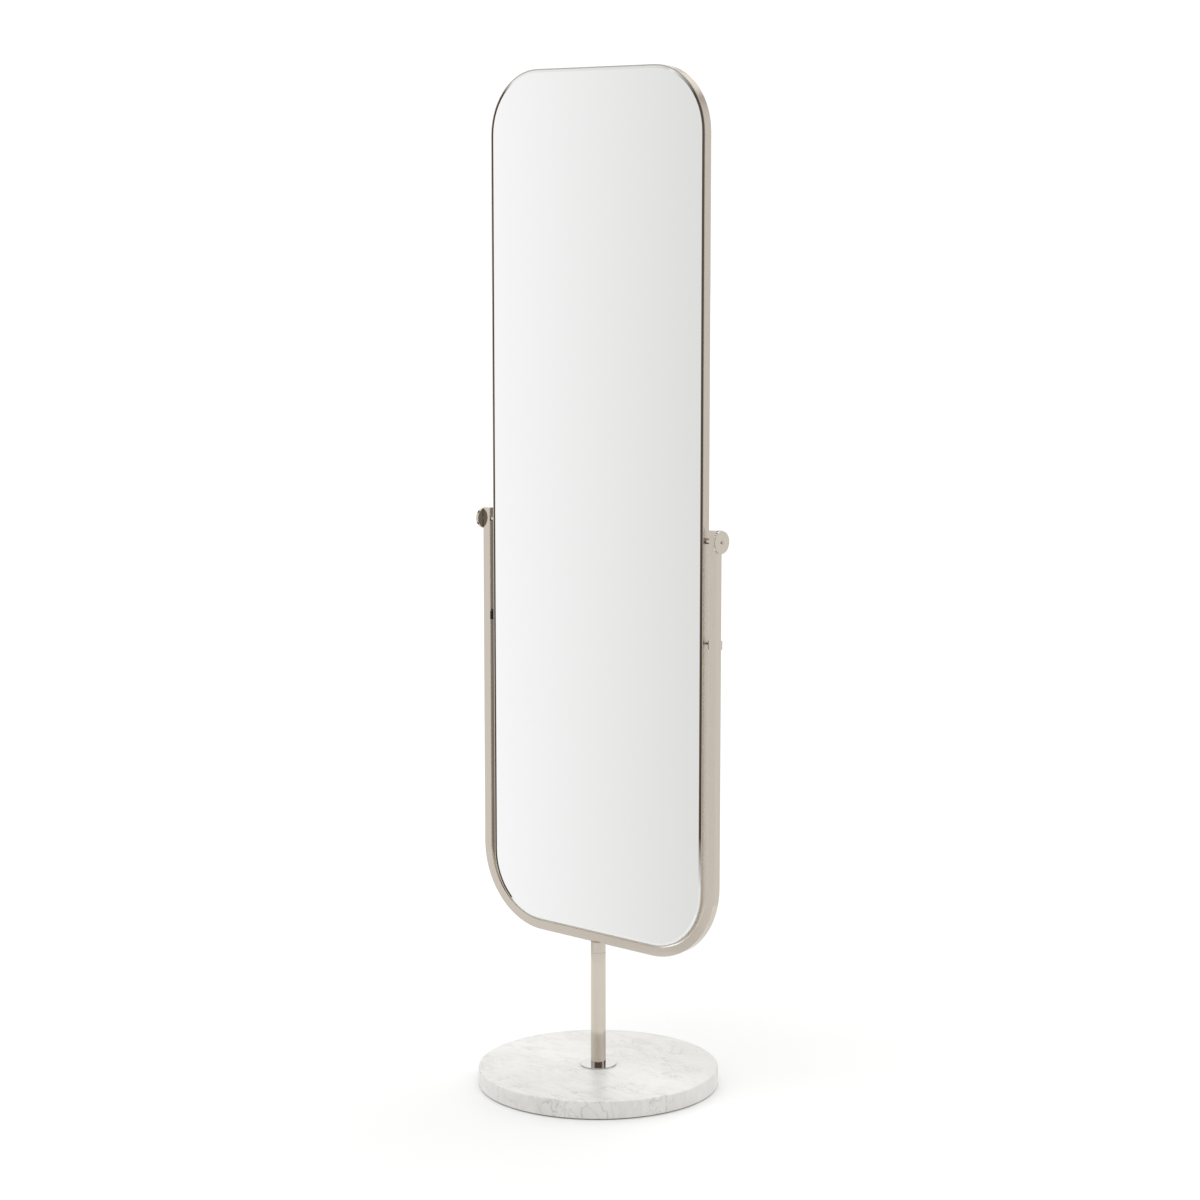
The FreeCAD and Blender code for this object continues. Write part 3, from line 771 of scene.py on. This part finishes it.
class FLOORMIRROR_OT_studio(bpy.types.Operator):
    """Make the floor, the soft light, the reflection card and the camera"""
    bl_idname = "floor_mirror.studio"
    bl_label = "Studio and camera"

    def execute(self, context):
        scene = context.scene
        settings = scene.floor_mirror_studio
        scene.view_settings.view_transform = "Standard"
        scene.world = studio_world(settings)
        disc = turned_mesh(even_angles(FLOOR_STEPS), [(settings.floor_radius, 0), (0, 0)])
        floor = new_piece("studio_floor", disc)
        card = new_piece("reflection_card", card_mesh())
        card.visible_camera = False
        card.visible_diffuse = False
        card.visible_shadow = False
        dress(floor_finish(settings), "studio_floor")
        dress(card_finish(settings), "reflection_card")
        camera = bpy.data.objects.new("camera", bpy.data.cameras.new("camera"))
        camera.data.lens = settings.lens
        camera.data.clip_end = CAMERA_REACH
        camera.location = settings.camera_place
        camera.rotation_euler = settings.camera_turn
        scene.collection.objects.link(camera)
        scene.camera = camera
        return {"FINISHED"}


# Panel and registration

OPERATORS = (FLOORMIRROR_OT_base, FLOORMIRROR_OT_metalwork, FLOORMIRROR_OT_glass, FLOORMIRROR_OT_cushioning,
             FLOORMIRROR_OT_fasteners, FLOORMIRROR_OT_studio)
SETTINGS = {"floor_mirror_finishes": MirrorFinishes, "floor_mirror_hardware": MirrorHardware,
            "floor_mirror_studio": MirrorStudio}


class FLOORMIRROR_PT_panel(bpy.types.Panel):
    """Steps and settings of the floor mirror"""
    bl_label = "Floor mirror"
    bl_idname = "FLOORMIRROR_PT_panel"
    bl_space_type = "VIEW_3D"
    bl_region_type = "UI"
    bl_category = "Floor mirror"

    def draw(self, context):
        for operator in OPERATORS:
            self.layout.operator(operator.bl_idname)
        for group_name, group in SETTINGS.items():
            box = self.layout.box()
            for setting in group.__annotations__:
                box.prop(getattr(context.scene, group_name), setting)


CLASSES = (*SETTINGS.values(), *OPERATORS, FLOORMIRROR_PT_panel)


def register():
    for item in CLASSES:
        bpy.utils.register_class(item)
    for group_name, group in SETTINGS.items():
        setattr(bpy.types.Scene, group_name, bpy.props.PointerProperty(type=group))


def unregister():
    for group_name in SETTINGS:
        delattr(bpy.types.Scene, group_name)
    for item in reversed(CLASSES):
        bpy.utils.unregister_class(item)


def main():
    register()
    for operator in OPERATORS:
        name = operator.bl_idname.split(".")[1]
        getattr(bpy.ops.floor_mirror, name)()


if __name__ == "__main__":
    main()
